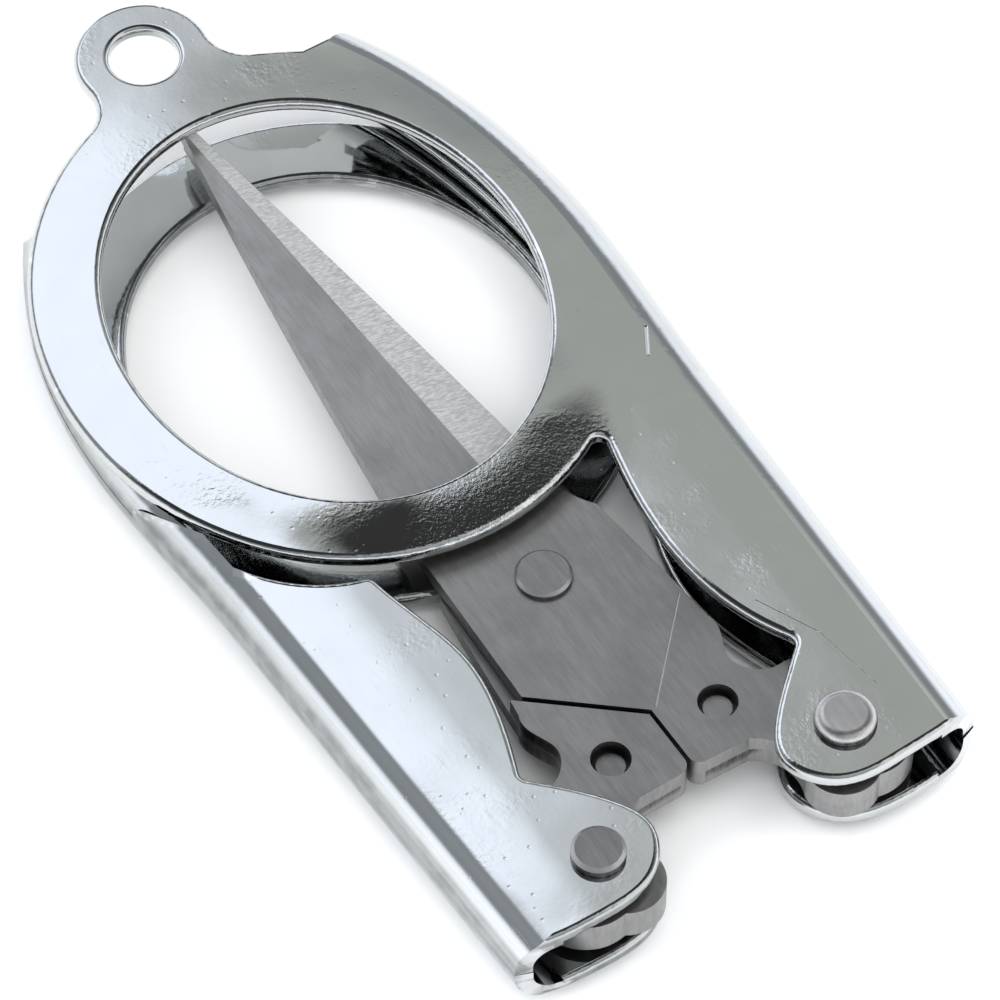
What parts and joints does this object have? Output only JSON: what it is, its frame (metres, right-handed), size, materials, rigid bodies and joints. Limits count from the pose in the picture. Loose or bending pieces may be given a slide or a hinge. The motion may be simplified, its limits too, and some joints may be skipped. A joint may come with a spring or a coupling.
{
  "type": "folding pocket scissors",
  "caption": "Folding pocket scissors in plated sheet steel, stored folded: finger-ring handles swing on rivets and fold over the blades; lanyard eye at one end.",
  "frame": {"origin": "middle of the underside of the folded scissors' bounding box", "axes": "+Y from the handle rivets to the blade tips and the lanyard eye, +Z out of the face with the lanyard eye, +X toward the wall of the front handle"},
  "size_m": [0.0396, 0.0806, 0.008],
  "materials": {
    "handle_chrome": "bright chrome plate over pressed sheet, fine orange peel and light scratches",
    "blade_steel": "satin, fine grinding marks",
    "spacer_steel": "satin, slightly darker than the blades",
    "rivet_steel": "satin peened heads with brighter rims"
  },
  "bodies": {
    "upper_half": {"upper_blade": "blade_steel", "upper_tang_spacer": "spacer_steel", "pivot_rivet": "rivet_steel", "front_handle_rivet": "rivet_steel"},
    "lower_half": {"lower_blade": "blade_steel", "lower_tang_spacer": "spacer_steel", "back_handle_rivet": "rivet_steel"},
    "front_grip": {"front_handle": "handle_chrome"},
    "back_grip": {"back_handle": "handle_chrome"}
  },
  "joints": [
    {"name": "front_handle_fold", "type": "hinge", "parent": "upper_half", "child": "front_grip", "pos_m": [0.00966, -0.03607, 0.00393], "axis": [0, 0, 1], "range_deg": [-173, 0]},
    {"name": "back_handle_fold", "type": "hinge", "parent": "lower_half", "child": "back_grip", "pos_m": [-0.00914, -0.03607, 0.00393], "axis": [0, 0, 1], "range_deg": [0, 173]},
    {"name": "blade_pivot", "type": "hinge", "parent": "upper_half", "child": "lower_half", "pos_m": [0.00026, -0.01517, 0.00393], "axis": [0, 0, 1], "range_deg": [-38.1, 0]}
  ],
  "couplings": [
    {"joint": "back_handle_fold", "follows": "front_handle_fold", "ratio": -1},
    {"joint": "blade_pivot", "follows": "front_handle_fold", "ratio": 0.22}
  ]
}
